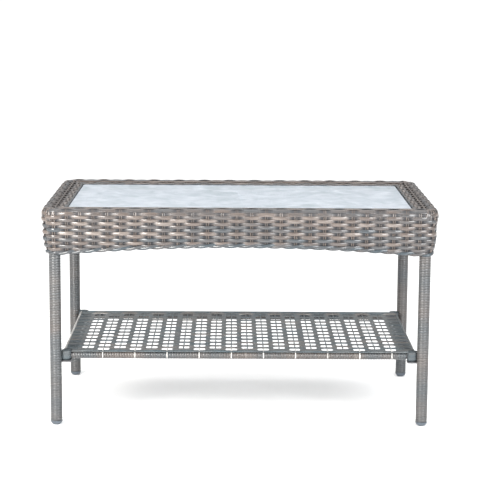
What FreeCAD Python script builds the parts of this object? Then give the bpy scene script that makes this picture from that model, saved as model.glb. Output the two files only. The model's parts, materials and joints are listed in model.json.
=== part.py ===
import FreeCAD, Part
import Sketcher
import math
import os
import re

# Wicker coffee table: a steel frame with a woven skirt and rim, a loose glass top in a
# recess, four wound legs and an open-woven shelf. Millimetres, +Z up, long side on X,
# front facing -Y, origin on the floor under the middle of the table.
# "Out" and "in" are measured from the centre of the table's rounded corners.

SIZES = [
    ("legX", 404, "leg centre, half spacing along the table"),
    ("legY", 226, "leg centre, half spacing across the table"),
    ("legRadius", 11, "steel leg tube, outside radius"),
    ("tubeWall", 1.5, "wall of every steel tube"),
    ("strandThick", 2, "resin strand wound on legs and shelf rails"),
    ("plateTop", 465, "height of the corner plates' top face"),
    ("plateThick", 4, "thickness of the corner plates"),
    ("plateIn", 18, "corner plate's inner edges, in from the corner centre"),
    ("plateOut", 21.5, "corner plate's outer edges, out from the corner centre"),
    ("glideHigh", 9, "height of the dome under each leg"),
    ("glideFlat", 7, "radius of the flat that the dome stands on"),
    ("glideStem", 20, "length of the glide's stem inside the tube"),
    ("windingTop", 443, "height where a leg's winding ends, inside the skirt"),
    ("cornerX", 398, "centre of the rounded corners, half spacing along the table"),
    ("cornerY", 220, "centre of the rounded corners, half spacing across the table"),
    ("railZ", 474, "height of the top rail's centre line"),
    ("railOut", 21, "top rail's centre line, out"),
    ("railRadius", 9, "top rail, outside radius"),
    ("rollRadius", 13, "outside of the weave rolled over the top rail"),
    ("skirtIn", 22, "inner face of the skirt, out"),
    ("skirtOut", 30, "outer face of the skirt, out"),
    ("skirtLow", 384, "height of the skirt's lower edge at the corners"),
    ("archLong", 18, "rise of the lower edge at mid length, front and back"),
    ("archShort", 8, "rise of the lower edge at mid length, left and right"),
    ("archStart", 8, "level stretch of lower edge before the arch starts"),
    ("hoopRadius", 4, "rod inside the skirt's lower border"),
    ("hoopStop", 10.5, "end of a hoop rod, short of the leg's centre"),
    ("bandOut", 6.5, "outer edge of the inner rim band, out"),
    ("bandIn", 19, "inner edge of the inner rim band, in"),
    ("bandHigh", 485, "top of the inner rim band at its outer edge"),
    ("bandLow", 480, "top of the inner rim band at its inner edge"),
    ("bandThick", 4, "thickness of the inner rim band"),
    ("ledgeThick", 3, "thickness of the glass ledge's flanges"),
    ("ledgeTop", 472.5, "height of the flange under the glass"),
    ("ledgeReach", 34, "inner edge of that flange, in"),
    ("ledgeWeb", 17, "inner face of the ledge's upright web, in"),
    ("ledgeOut", 4, "outer end of the ledge's top flange, out"),
    ("lipGap", 0.5, "gap between the rim band's lip and the ledge"),
    ("mitreMargin", 5, "how far the mitre cuts run past the stock"),
    ("glassX", 377.5, "half length of the glass panel"),
    ("glassY", 199.5, "half width of the glass panel"),
    ("glassThick", 5, "thickness of the glass panel"),
    ("glassCorner", 8, "corner radius of the glass panel"),
    ("glassArris", 1, "rounding of the glass panel's edges"),
    ("padThick", 1.5, "thickness of the clear pads under the glass"),
    ("padRadius", 4, "radius of those pads"),
    ("padInset", 7, "centre of a pad, in from the glass's edge"),
    ("padX", 300, "long sides' pads, from the middle"),
    ("padY", 140, "short sides' pads, from the middle"),
    ("boltRadius", 2.5, "shank of the leg bolts and shelf bolts"),
    ("boltHole", 2.8, "clearance hole for those bolts"),
    ("legBoltLong", 20, "leg bolt under its head"),
    ("hexRadius", 4.6, "leg bolt's hexagon, across its corners"),
    ("hexHigh", 3.3, "height of that hexagon"),
    ("washerRadius", 5, "washer under a leg bolt's head"),
    ("washerThick", 1, "thickness of that washer"),
    ("plugLong", 24, "threaded plug in the top of a leg tube"),
    ("shelfX", 379, "centre line of the shelf's short rails"),
    ("shelfY", 209, "centre line of the shelf's long rails"),
    ("shelfZ", 153, "height of the shelf rails' centre line"),
    ("shelfRadius", 6, "steel shelf rail, outside radius"),
    ("blockStart", 10, "corner block's outer end, in from the leg's centre"),
    ("blockLong", 33, "corner block's inner end, in from the leg's centre"),
    ("blockNear", 1, "corner block's outer face, in from the leg's centre"),
    ("blockFar", 25, "corner block's inner face, in from the leg's centre"),
    ("blockTop", 165, "top of the shelf's corner blocks"),
    ("bracketTop", 143, "top of the brackets that carry the shelf"),
    ("bracketThick", 3, "thickness of those brackets"),
    ("bracketStart", 4, "bracket's end beside the leg, in from the leg's centre"),
    ("shelfBoltIn", 22, "shelf bolt, in from the leg's centre along the table"),
    ("shelfBoltBack", 13, "shelf bolt, in from the leg's centre across the table"),
    ("shelfBoltLong", 17, "shelf bolt above its head"),
    ("buttonRadius", 4.8, "button head of the shelf bolts"),
    ("buttonSlim", 3, "that head at its face"),
    ("buttonHigh", 2.8, "height of that head"),
    ("weaveX", 385, "half length of the shelf weave"),
    ("weaveY", 209, "half width of the shelf weave"),
    ("weaveThick", 5, "thickness of the shelf weave"),
    ("stakePitch", 35.5, "distance between the shelf weave's stakes"),
    ("rowPitch", 34.2, "distance between openings along one stake"),
    ("stakeWide", 3, "width of the stake between two openings"),
    ("openingWide", 11, "size of an opening along the table"),
    ("openingDeep", 21, "size of an opening along the stakes"),
    ("firstRow", 192, "centre of the front openings, forward of the middle"),
    ("braceX", 138.4, "braces under the shelf weave, from the middle"),
    ("braceRadius", 3, "radius of those braces"),
]
MEANINGS = {alias: meaning for alias, number, meaning in SIZES}

# The sign of each corner's place, and the turn that takes a part drawn for +X +Y there.
CORNERS = {
    "front_left": (-1, -1, 180),
    "front_right": (1, -1, 270),
    "back_right": (1, 1, 0),
    "back_left": (-1, 1, 90),
}
# Each side is drawn as the front one and turned into place about Z.
SIDES = {"front": 0, "right": 90, "back": 180, "left": 270}
BEND_DEGREES = 45
Z_AXIS = FreeCAD.Vector(0, 0, 1)

doc = FreeCAD.newDocument("WickerCoffeeTable")
sheet = doc.addObject("Spreadsheet::Sheet", "Sizes")
nodes = []


def fill_sheet():
    for row, (alias, number, meaning) in enumerate(SIZES, start=1):
        sheet.set(f"A{row}", meaning)
        sheet.set(f"B{row}", str(number))
        sheet.setAlias(f"B{row}", alias)
    doc.recompute()


def size(text):
    """Number that an expression of size names comes to."""
    result = sheet.evalExpression(text)
    return float(getattr(result, "Value", result))


def linked(text):
    """The same expression with each size name pointing at the sheet."""
    return re.sub(r"[A-Za-z]\w*", lambda word: point_at_sheet(word.group()), text)


def point_at_sheet(word):
    return f"Sizes.{word}" if word in MEANINGS else word


def bind(thing, prop, text):
    thing.setExpression(prop, linked(text))


def place(thing, x="0", y="0", z="0", turn=0):
    """Put a piece at x, y, z, turned by some degrees about Z."""
    thing.Placement = FreeCAD.Placement(FreeCAD.Vector(), FreeCAD.Rotation(Z_AXIS, turn))
    for letter, text in zip("xyz", (x, y, z)):
        bind(thing, f"Placement.Base.{letter}", text)
    return thing


def keep(thing, label):
    thing.Label = label
    nodes.append(thing)


def keep_group(pieces, label):
    group = doc.addObject("Part::Compound", label)
    group.Links = pieces
    keep(group, label)


def new_body(name):
    return doc.addObject("PartDesign::Body", name)


def origin_plane(body, role):
    return next(item for item in body.Origin.OriginFeatures if item.Role == role)


def add_sketch(body, role, x="0", y="0", normal="0"):
    """Sketch on one of the body's own planes, moved in that plane's own axes."""
    sketch = body.newObject("Sketcher::SketchObject", "Sketch")
    sketch.AttachmentSupport = [(origin_plane(body, role), "")]
    sketch.MapMode = "FlatFace"
    for letter, text in zip("xyz", (x, y, normal)):
        bind(sketch, f"AttachmentOffset.Base.{letter}", text)
    return sketch


def constrain(sketch, text, kind, *where):
    number = sketch.addConstraint(Sketcher.Constraint(kind, *where, size(text)))
    bind(sketch, f"Constraints[{number}]", text)


def pin_point(sketch, edge, point, x, y):
    """Hold a point of the sketch at x, y from the sketch's origin."""
    constrain(sketch, x, "DistanceX", -1, 1, edge, point)
    constrain(sketch, y, "DistanceY", -1, 1, edge, point)


def draw_circle(sketch, x, y, radius):
    centre = FreeCAD.Vector(size(x), size(y), 0)
    edge = sketch.addGeometry(Part.Circle(centre, Z_AXIS, size(radius)))
    constrain(sketch, radius, "Radius", edge)
    pin_point(sketch, edge, 3, x, y)


def draw_ring(sketch, x, y, outer, inner):
    draw_circle(sketch, x, y, outer)
    draw_circle(sketch, x, y, inner)


def draw_outline(sketch, corners, arcs=None):
    """Closed outline through corners, each an (x, y) pair of expressions. arcs gives some
    edges, by number, a centre: (x, y, True if the edge runs clockwise)."""
    arcs = arcs or {}
    spots = [FreeCAD.Vector(size(x), size(y), 0) for x, y in corners]
    edges = []
    for index, start in enumerate(spots):
        finish = spots[(index + 1) % len(spots)]
        if index in arcs:
            edges.append(draw_arc(sketch, start, finish, arcs[index]))
        else:
            line = sketch.addGeometry(Part.LineSegment(start, finish))
            edges.append((line, 1, 2))
    for index, (edge, first, last) in enumerate(edges):
        following, following_first, _ = edges[(index + 1) % len(edges)]
        sketch.addConstraint(Sketcher.Constraint("Coincident", edge, last, following, following_first))
        pin_point(sketch, edge, first, *corners[index])


def draw_arc(sketch, start, finish, centre_and_way):
    """Arc from start to finish. Its ends are held, so one more distance fixes its centre."""
    x, y, clockwise = centre_and_way
    centre = FreeCAD.Vector(size(x), size(y), 0)
    circle = Part.Circle(centre, Z_AXIS, (start - centre).Length)
    first, last = (finish, start) if clockwise else (start, finish)
    begin = math.atan2(first.y - centre.y, first.x - centre.x)
    end = math.atan2(last.y - centre.y, last.x - centre.x)
    edge = sketch.addGeometry(Part.ArcOfCircle(circle, begin, end))
    constrain(sketch, y, "DistanceY", -1, 1, edge, 3)
    return (edge, 2, 1) if clockwise else (edge, 1, 2)


def draw_box(sketch, left, right, low, high):
    draw_outline(sketch, [(left, low), (right, low), (right, high), (left, high)])


def pad(body, sketch, length, both_ways=False):
    feature = body.newObject("PartDesign::Pad", "Pad")
    feature.Profile = sketch
    feature.SideType = "Symmetric" if both_ways else "One side"
    bind(feature, "Length", length)
    return feature


def volume(body):
    doc.recompute()
    return body.Shape.Volume


def cut_through(body, sketch):
    """Pocket right through the body, both ways from the sketch."""
    before = volume(body)
    feature = body.newObject("PartDesign::Pocket", "Pocket")
    feature.Profile = sketch
    feature.SideType = "Symmetric"
    feature.Type = "ThroughAll"
    if volume(body) >= before:
        raise RuntimeError(f"a pocket in {body.Name} cut nothing")
    return feature


def tube(name, outer, inner, length):
    """Tube along Z, standing on its own origin."""
    body = new_body(name)
    sketch = add_sketch(body, "XY_Plane")
    draw_ring(sketch, "0", "0", outer, inner)
    pad(body, sketch, length)
    return body


def side_lengths(side):
    """Names of the half length of a side's straight run, and of its distance from the middle."""
    return ("cornerX", "cornerY") if side in ("front", "back") else ("cornerY", "cornerX")


def straight_side(name, side, half_length, draw):
    """Bar along a side, symmetric about the middle. draw fills a sketch whose x runs inward
    from the corner centres and whose y is height."""
    body = new_body(name)
    reach = side_lengths(side)[1]
    sketch = add_sketch(body, "YZ_Plane", x=f"-{reach}")
    draw(sketch)
    pad(body, sketch, f"2 * ({half_length})", both_ways=True)
    return place(body, turn=SIDES[side])


def rounded_side(name, side, draw):
    """The same, carried on round half of each rounded corner."""
    run, reach = side_lengths(side)
    body = straight_side(name, side, run, draw)
    straight = volume(body)
    sketch = add_sketch(body, "YZ_Plane", x=f"-{reach}", normal=run)
    draw(sketch)
    bend = body.newObject("PartDesign::Revolution", "Bend")
    bend.Profile = sketch
    bend.ReferenceAxis = (sketch, ["V_Axis"])
    bend.Angle = BEND_DEGREES
    if volume(body) <= straight:
        raise RuntimeError("the bend turned back into the bar")
    other_end = body.newObject("PartDesign::Mirrored", "OtherEnd")
    other_end.Originals = [bend]
    other_end.MirrorPlane = (origin_plane(body, "YZ_Plane"), [""])
    body.Tip = other_end
    return body


def cut_mitres(body, side, outer, inner):
    """Cut both ends of a bar at 45 degrees, through its corners outer (out) and inner (in)."""
    run, reach = side_lengths(side)
    far_x = f"{run} + {outer} + mitreMargin"
    near_x = f"{run} - {inner} - mitreMargin"
    far_y = f"-({reach} + {outer} + mitreMargin)"
    near_y = f"-({reach} - {inner} - mitreMargin)"
    sketch = add_sketch(body, "XY_Plane")
    draw_outline(sketch, [(near_x, near_y), (far_x, far_y), (far_x, near_y)])
    draw_outline(sketch, [(f"-({near_x})", near_y), (f"-({far_x})", far_y), (f"-({far_x})", near_y)])
    cut_through(body, sketch)


def make_top_rails():
    for side in SIDES:
        body = rounded_side("TopRail", side, draw_rail_ring)
        keep(body, f"top_rail_{side}")


def draw_rail_ring(sketch):
    draw_ring(sketch, "-railOut", "railZ", "railRadius", "railRadius - tubeWall")


def draw_skirt_section(sketch):
    """Woven sheet that hangs from the top rail and rolls over it to its inner side."""
    outer_foot = "railZ - sqrt(rollRadius * rollRadius - (skirtOut - railOut) * (skirtOut - railOut))"
    inner_foot = "railZ - sqrt(railRadius * railRadius - (skirtIn - railOut) * (skirtIn - railOut))"
    corners = [
        ("-skirtOut", "skirtLow"),
        ("-skirtOut", outer_foot),
        ("-(railOut - rollRadius)", "railZ"),
        ("-(railOut - railRadius)", "railZ"),
        ("-skirtIn", inner_foot),
        ("-skirtIn", "skirtLow"),
    ]
    arcs = {1: ("-railOut", "railZ", True), 3: ("-railOut", "railZ", False)}
    draw_outline(sketch, corners, arcs)


def make_skirts():
    for side in SIDES:
        body = rounded_side("WovenSkirt", side, draw_skirt_section)
        run = side_lengths(side)[0]
        cut_arch(body, f"({run} - archStart)", arch_rise(side))
        keep(body, f"woven_skirt_{side}")


def arch_rise(side):
    return "archLong" if side in ("front", "back") else "archShort"


def arch_radius(half, rise):
    return f"({half} * {half} + {rise} * {rise}) / (2 * {rise})"


def cut_arch(body, half, rise):
    """Take a shallow arch out of the skirt's lower edge."""
    sketch = add_sketch(body, "XZ_Plane")
    below = "skirtLow - mitreMargin"
    corners = [(f"-{half}", "skirtLow"), (half, "skirtLow"), (half, below), (f"-{half}", below)]
    centre = f"skirtLow + {rise} - {arch_radius(half, rise)}"
    draw_outline(sketch, corners, {0: ("0", centre, True)})
    cut_through(body, sketch)


def make_hoops():
    """Arched rods that the skirt's lower border is woven round, between the legs."""
    for side in SIDES:
        run, reach = side_lengths(side)
        leg = "legX" if run == "cornerX" else "legY"
        half = f"({leg} - hoopStop)"
        rise = arch_rise(side)
        radius = arch_radius(half, rise)
        body = new_body("SkirtHoop")
        height = f"skirtLow + {rise} + hoopRadius"
        sketch = add_sketch(body, "YZ_Plane", x=f"-{reach}", y=f"{height} - {radius}")
        draw_circle(sketch, "-(skirtIn - hoopRadius)", radius, "hoopRadius")
        turn = body.newObject("PartDesign::Revolution", "Turn")
        turn.Profile = sketch
        turn.ReferenceAxis = (sketch, ["H_Axis"])
        turn.Midplane = True
        bind(turn, "Angle", f"2 * asin({half} / ({radius}))")
        place(body, turn=SIDES[side])
        keep(body, f"skirt_hoop_{side}")


def draw_band_section(sketch):
    """Sloping woven band from the rolled rim down to the glass, with a lip at the glass."""
    web = "ledgeWeb"
    corners = [
        ("-bandOut", "bandHigh"),
        ("bandIn", "bandLow"),
        ("bandIn", "ledgeTop + lipGap"),
        (web, "ledgeTop + lipGap"),
        (web, "bandLow - bandThick"),
        ("-bandOut", "bandHigh - bandThick"),
    ]
    draw_outline(sketch, corners)


def make_rim_bands():
    for side in SIDES:
        run = side_lengths(side)[0]
        body = straight_side("RimBand", side, f"{run} + bandOut", draw_band_section)
        cut_mitres(body, side, "bandOut", "bandIn")
        keep(body, f"rim_band_{side}")


def draw_ledge_section(sketch):
    """Folded steel strip: a flange under the glass, an upright web, a flange under the band."""
    underside = "ledgeTop - ledgeThick"
    top = "bandLow - bandThick"
    back = "ledgeWeb - ledgeThick"
    corners = [
        ("ledgeReach", underside),
        ("ledgeReach", "ledgeTop"),
        ("ledgeWeb", "ledgeTop"),
        ("ledgeWeb", top),
        ("-ledgeOut", top),
        ("-ledgeOut", f"{top} - ledgeThick"),
        (back, f"{top} - ledgeThick"),
        (back, "plateTop"),
        ("ledgeWeb", "plateTop"),
        ("ledgeWeb", underside),
    ]
    draw_outline(sketch, corners)


def make_glass_ledges():
    for side in SIDES:
        run = side_lengths(side)[0]
        body = straight_side("GlassLedge", side, f"{run} + ledgeOut", draw_ledge_section)
        cut_mitres(body, side, "ledgeOut", "ledgeReach")
        keep(body, f"glass_ledge_{side}")


def make_glass_panel():
    body = new_body("GlassPanel")
    sketch = add_sketch(body, "XY_Plane")
    flat_x = "(glassX - glassCorner)"
    flat_y = "(glassY - glassCorner)"
    corners = [
        (f"-{flat_x}", "-glassY"),
        (flat_x, "-glassY"),
        ("glassX", f"-{flat_y}"),
        ("glassX", flat_y),
        (flat_x, "glassY"),
        (f"-{flat_x}", "glassY"),
        ("-glassX", flat_y),
        ("-glassX", f"-{flat_y}"),
    ]
    arcs = {
        1: (flat_x, f"-{flat_y}", False),
        3: (flat_x, flat_y, False),
        5: (f"-{flat_x}", flat_y, False),
        7: (f"-{flat_x}", f"-{flat_y}", False),
    }
    draw_outline(sketch, corners, arcs)
    sheet_of_glass = pad(body, sketch, "glassThick")
    doc.recompute()
    arris = body.newObject("PartDesign::Fillet", "Arris")
    arris.Base = (sheet_of_glass, level_edges(sheet_of_glass.Shape))
    bind(arris, "Radius", "glassArris")
    keep(place(body, z="ledgeTop + padThick"), "glass_panel")


def level_edges(shape):
    """Names of the edges that lie flat, all at one height."""
    names = []
    for number, edge in enumerate(shape.Edges, start=1):
        if edge.BoundBox.ZLength < 0.001:
            names.append(f"Edge{number}")
    return names


def cylinder(name, radius, height, x="0", y="0", z="0"):
    solid = doc.addObject("Part::Cylinder", name)
    bind(solid, "Radius", radius)
    bind(solid, "Height", height)
    return place(solid, x, y, z)


def make_glass_pads():
    edge_x = "(glassX - padInset)"
    edge_y = "(glassY - padInset)"
    spots = [(f"{sx} * padX", f"{sy} * {edge_y}") for sx in (-1, 1) for sy in (-1, 1)]
    spots += [(f"{sx} * {edge_x}", f"{sy} * padY") for sx in (-1, 1) for sy in (-1, 1)]
    pads = [cylinder("GlassPad", "padRadius", "padThick", x, y, "ledgeTop") for x, y in spots]
    keep_group(pads, "glass_pads")


def make_corner_plates():
    """Welded plates at the corners: rails and ledges sit on them, the legs bolt up to them."""
    for corner, (sx, sy, turn) in CORNERS.items():
        body = new_body("CornerPlate")
        sketch = add_sketch(body, "XY_Plane")
        corners = [
            ("-plateIn", "-plateIn"),
            ("plateOut", "-plateIn"),
            ("plateOut", "0"),
            ("0", "plateOut"),
            ("-plateIn", "plateOut"),
        ]
        draw_outline(sketch, corners, {2: ("0", "0", False)})
        draw_circle(sketch, "legX - cornerX", "legY - cornerY", "boltHole")
        pad(body, sketch, "plateThick")
        place(body, f"{sx} * cornerX", f"{sy} * cornerY", "plateTop - plateThick", turn)
        keep(body, f"corner_plate_{corner}")


def make_leg_tubes():
    for corner, (sx, sy, turn) in CORNERS.items():
        body = tube("LegTube", "legRadius", "legRadius - tubeWall", "plateTop - plateThick - glideHigh")
        place(body, f"{sx} * legX", f"{sy} * legY", "glideHigh", turn)
        keep(body, f"leg_tube_{corner}")


def make_leg_windings():
    """Resin strand wound round each leg, with a slot where the shelf bracket comes through."""
    for corner, (sx, sy, turn) in CORNERS.items():
        body = tube("LegWinding", "legRadius + strandThick", "legRadius", "windingTop - glideHigh")
        whole = volume(body)
        sketch = add_sketch(body, "XY_Plane", normal="bracketTop - bracketThick - glideHigh")
        draw_bracket(sketch, sx, sy)
        slot = body.newObject("PartDesign::Pocket", "Slot")
        slot.Profile = sketch
        slot.Reversed = True
        bind(slot, "Length", "bracketThick")
        if volume(body) >= whole:
            raise RuntimeError("the bracket's slot cut nothing")
        keep(place(body, f"{sx} * legX", f"{sy} * legY", "glideHigh"), f"leg_winding_{corner}")


def draw_bracket(sketch, sx, sy):
    """Bracket's plan in the leg's own frame, reaching in towards the shelf."""
    draw_box(sketch, f"{-sx} * bracketStart", f"{-sx} * blockLong", f"{-sy} * blockNear", f"{-sy} * blockFar")


def round_out(body, radius):
    """Cut a body away round the leg's centre line."""
    sketch = add_sketch(body, "XY_Plane")
    draw_circle(sketch, "0", "0", radius)
    cut_through(body, sketch)


def make_shelf_brackets():
    brackets = []
    for corner, (sx, sy, turn) in CORNERS.items():
        body = new_body("ShelfBracket")
        sketch = add_sketch(body, "XY_Plane")
        draw_bracket(sketch, sx, sy)
        draw_circle(sketch, f"{-sx} * shelfBoltIn", f"{-sy} * shelfBoltBack", "boltHole")
        pad(body, sketch, "bracketThick")
        round_out(body, "legRadius")
        brackets.append(place(body, f"{sx} * legX", f"{sy} * legY", "bracketTop - bracketThick"))
    keep_group(brackets, "shelf_brackets")


def make_shelf_blocks():
    """Blocks at the shelf's corners, hollowed to fit the legs and tapped for the shelf bolts."""
    for corner, (sx, sy, turn) in CORNERS.items():
        body = new_body("ShelfBlock")
        sketch = add_sketch(body, "XY_Plane")
        draw_box(sketch, f"{-sx} * blockStart", f"{-sx} * blockLong", f"{-sy} * blockNear", f"{-sy} * blockFar")
        draw_circle(sketch, f"{-sx} * shelfBoltIn", f"{-sy} * shelfBoltBack", "boltRadius")
        pad(body, sketch, "blockTop - bracketTop")
        round_out(body, "legRadius + strandThick")
        place(body, f"{sx} * legX", f"{sy} * legY", "bracketTop")
        keep(body, f"shelf_block_{corner}")


def make_glides():
    """Domed plastic feet, each with a stem pushed into its leg tube."""
    rim = "(legRadius + strandThick)"
    stem = "(legRadius - tubeWall)"
    centre = f"({rim} * {rim} - glideFlat * glideFlat - glideHigh * glideHigh) / (2 * ({rim} - glideFlat))"
    for corner, (sx, sy, turn) in CORNERS.items():
        body = new_body("FootGlide")
        sketch = add_sketch(body, "XZ_Plane")
        corners = [
            ("0", "0"),
            ("glideFlat", "0"),
            (rim, "glideHigh"),
            (stem, "glideHigh"),
            (stem, "glideHigh + glideStem"),
            ("0", "glideHigh + glideStem"),
        ]
        draw_outline(sketch, corners, {1: (centre, "glideHigh", False)})
        turned = body.newObject("PartDesign::Revolution", "Turned")
        turned.Profile = sketch
        turned.ReferenceAxis = (sketch, ["V_Axis"])
        turned.Angle = 360
        place(body, f"{sx} * legX", f"{sy} * legY")
        keep(body, f"foot_glide_{corner}")


def make_leg_plugs():
    plugs = []
    for sx, sy, turn in CORNERS.values():
        plug = tube("LegPlug", "legRadius - tubeWall", "boltRadius", "plugLong")
        plugs.append(place(plug, f"{sx} * legX", f"{sy} * legY", "plateTop - plateThick - plugLong"))
    keep_group(plugs, "leg_plugs")


def make_leg_washers():
    washers = []
    for sx, sy, turn in CORNERS.values():
        washer = tube("LegWasher", "washerRadius", "boltHole", "washerThick")
        washers.append(place(washer, f"{sx} * legX", f"{sy} * legY", "plateTop"))
    keep_group(washers, "leg_washers")


def fuse(name, *pieces):
    joined = doc.addObject("Part::MultiFuse", name)
    joined.Shapes = pieces
    return joined


def make_leg_bolts():
    """Hexagon bolts down through the corner plates into the legs' plugs."""
    bolts = []
    for sx, sy, turn in CORNERS.values():
        x = f"{sx} * legX"
        y = f"{sy} * legY"
        head = doc.addObject("Part::Prism", "BoltHead")
        head.Polygon = 6
        bind(head, "Circumradius", "hexRadius")
        bind(head, "Height", "hexHigh")
        place(head, x, y, "plateTop + washerThick")
        shank = cylinder("BoltShank", "boltRadius", "legBoltLong", x, y, "plateTop + washerThick - legBoltLong")
        bolts.append(fuse("LegBolt", head, shank))
    keep_group(bolts, "leg_bolts")


def make_shelf_bolts():
    """Button-head bolts up through the brackets into the shelf's corner blocks."""
    bolts = []
    for sx, sy, turn in CORNERS.values():
        x = f"{sx} * (legX - shelfBoltIn)"
        y = f"{sy} * (legY - shelfBoltBack)"
        face = "bracketTop - bracketThick"
        head = doc.addObject("Part::Cone", "ButtonHead")
        bind(head, "Radius1", "buttonSlim")
        bind(head, "Radius2", "buttonRadius")
        bind(head, "Height", "buttonHigh")
        place(head, x, y, f"{face} - buttonHigh")
        shank = cylinder("BoltShank", "boltRadius", "shelfBoltLong", x, y, face)
        bolts.append(fuse("ShelfBolt", head, shank))
    keep_group(bolts, "shelf_bolts")


def shelf_bar(name, side, outer, inner):
    """Round bar or tube along one side of the shelf, between two corner blocks."""
    long_side = side in ("front", "back")
    half = "(legX - blockLong)" if long_side else "(legY - blockFar)"
    body = new_body(name)
    distance = "shelfY" if long_side else "shelfX"
    sketch = add_sketch(body, "YZ_Plane", x=f"-{distance}", y="shelfZ")
    draw_ring(sketch, "0", "0", outer, inner)
    pad(body, sketch, f"2 * {half}", both_ways=True)
    return place(body, turn=SIDES[side])


def make_shelf_rails():
    for side in SIDES:
        rail = shelf_bar("ShelfRail", side, "shelfRadius", "shelfRadius - tubeWall")
        keep(rail, f"shelf_rail_{side}")


def make_shelf_windings():
    for side in SIDES:
        winding = shelf_bar("ShelfWinding", side, "shelfRadius + strandThick", "shelfRadius")
        keep(winding, f"shelf_winding_{side}")


def make_shelf_braces():
    for name, sign in (("left", -1), ("right", 1)):
        body = new_body("ShelfBrace")
        sketch = add_sketch(body, "XZ_Plane")
        draw_circle(sketch, f"{sign} * braceX", "shelfZ + shelfRadius + strandThick - braceRadius", "braceRadius")
        pad(body, sketch, "2 * (legY - blockFar)", both_ways=True)
        keep(body, f"shelf_brace_{name}")


def shelf_outline():
    """Outline of the shelf weave, notched round the corner blocks."""
    notch_x = "(legX - blockLong)"
    notch_y = "(legY - blockFar)"
    corners = []
    for sx, sy in ((1, -1), (1, 1), (-1, 1), (-1, -1)):
        side_point = (f"{sx} * weaveX", f"{sy} * {notch_y}")
        inner_point = (f"{sx} * {notch_x}", f"{sy} * {notch_y}")
        end_point = (f"{sx} * {notch_x}", f"{sy} * weaveY")
        trio = [side_point, inner_point, end_point]
        corners += trio if sx == sy else trio[::-1]
    return corners


def make_shelf_weave():
    """Woven shelf: pairs of openings beside each stake, neighbouring stakes half a row apart."""
    body = new_body("ShelfWeave")
    sketch = add_sketch(body, "XY_Plane")
    draw_outline(sketch, shelf_outline())
    pad(body, sketch, "weaveThick")
    # First stake, first opening row forward of the middle, rows, for both sets of stakes.
    punch_openings(body, "-8.5 * stakePitch", "-firstRow", 9)
    punch_openings(body, "-9.5 * stakePitch", "-firstRow + rowPitch / 2", 9)
    keep(place(body, z="shelfZ + shelfRadius + strandThick"), "shelf_weave")


def punch_openings(body, x, y, rows):
    """A pair of openings beside the stake at x, repeated over every second stake and each row."""
    stakes = 10
    near = "stakeWide / 2"
    far = "(stakeWide / 2 + openingWide)"
    sketch = add_sketch(body, "XY_Plane")
    low = f"{y} - openingDeep / 2"
    high = f"{y} + openingDeep / 2"
    draw_box(sketch, f"{x} + {near}", f"{x} + {far}", low, high)
    draw_box(sketch, f"{x} - {far}", f"{x} - {near}", low, high)
    pocket = cut_through(body, sketch)
    pattern = body.newObject("PartDesign::MultiTransform", "Openings")
    pattern.Originals = [pocket]
    steps = []
    for axis, pitch, count in (("X_Axis", "2 * stakePitch", stakes), ("Y_Axis", "rowPitch", rows)):
        step = body.newObject("PartDesign::LinearPattern", "Repeat")
        step.Direction = (origin_plane(body, axis), [""])
        step.Occurrences = count
        bind(step, "Length", f"({pitch}) * {count - 1}")
        steps.append(step)
    pattern.Transformations = steps
    body.Tip = pattern


def check_document():
    for item in doc.Objects:
        if "Invalid" in item.State or "Error" in item.State:
            raise RuntimeError(f"{item.Name} {item.Label} failed")
    for node in nodes:
        if node.Shape.isNull() or not node.Shape.isValid() or not node.Shape.Solids:
            raise RuntimeError(f"{node.Label} has no valid solid")


def export_nodes():
    os.makedirs("parts", exist_ok=True)
    for node in nodes:
        node.Shape.exportStep(f"parts/{node.Label}.step")
        box = node.Shape.BoundBox
        print(node.Label, len(node.Shape.Solids), round(node.Shape.Volume), box)


fill_sheet()
make_top_rails()
make_skirts()
make_hoops()
make_rim_bands()
make_glass_ledges()
make_glass_panel()
make_glass_pads()
make_corner_plates()
make_leg_tubes()
make_leg_windings()
make_glides()
make_leg_plugs()
make_leg_washers()
make_leg_bolts()
make_shelf_rails()
make_shelf_windings()
make_shelf_blocks()
make_shelf_brackets()
make_shelf_bolts()
make_shelf_braces()
make_shelf_weave()
doc.recompute()
check_document()
export_nodes()
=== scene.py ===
import json
import math
import bpy
import numpy as np
from mathutils import Matrix, Vector


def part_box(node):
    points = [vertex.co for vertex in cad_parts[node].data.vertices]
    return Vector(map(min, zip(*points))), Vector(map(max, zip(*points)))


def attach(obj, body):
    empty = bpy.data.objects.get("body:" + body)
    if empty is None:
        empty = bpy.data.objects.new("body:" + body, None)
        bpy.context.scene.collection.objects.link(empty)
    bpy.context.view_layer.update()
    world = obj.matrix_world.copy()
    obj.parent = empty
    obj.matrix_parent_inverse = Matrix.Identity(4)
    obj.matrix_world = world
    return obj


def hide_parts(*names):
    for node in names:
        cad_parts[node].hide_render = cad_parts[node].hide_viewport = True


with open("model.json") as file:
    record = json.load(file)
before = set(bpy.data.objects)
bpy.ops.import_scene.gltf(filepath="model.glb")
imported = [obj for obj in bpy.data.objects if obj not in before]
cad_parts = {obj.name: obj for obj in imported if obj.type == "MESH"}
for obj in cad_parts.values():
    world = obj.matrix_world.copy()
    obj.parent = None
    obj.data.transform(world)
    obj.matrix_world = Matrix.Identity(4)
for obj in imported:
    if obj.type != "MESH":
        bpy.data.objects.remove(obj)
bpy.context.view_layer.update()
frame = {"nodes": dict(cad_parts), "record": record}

# Wicker coffee table. Metres, +Z up, front facing -Y, long side on X.
print("frame loaded")

# Camera first. Angles in radians: turn about Z, tilt down, roll.
view = {"place": (-0.0211, -3.7576, 0.9954), "turn": -0.00592, "down": 0.1630, "roll": 0.00598, "lens": 123.3}


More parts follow.
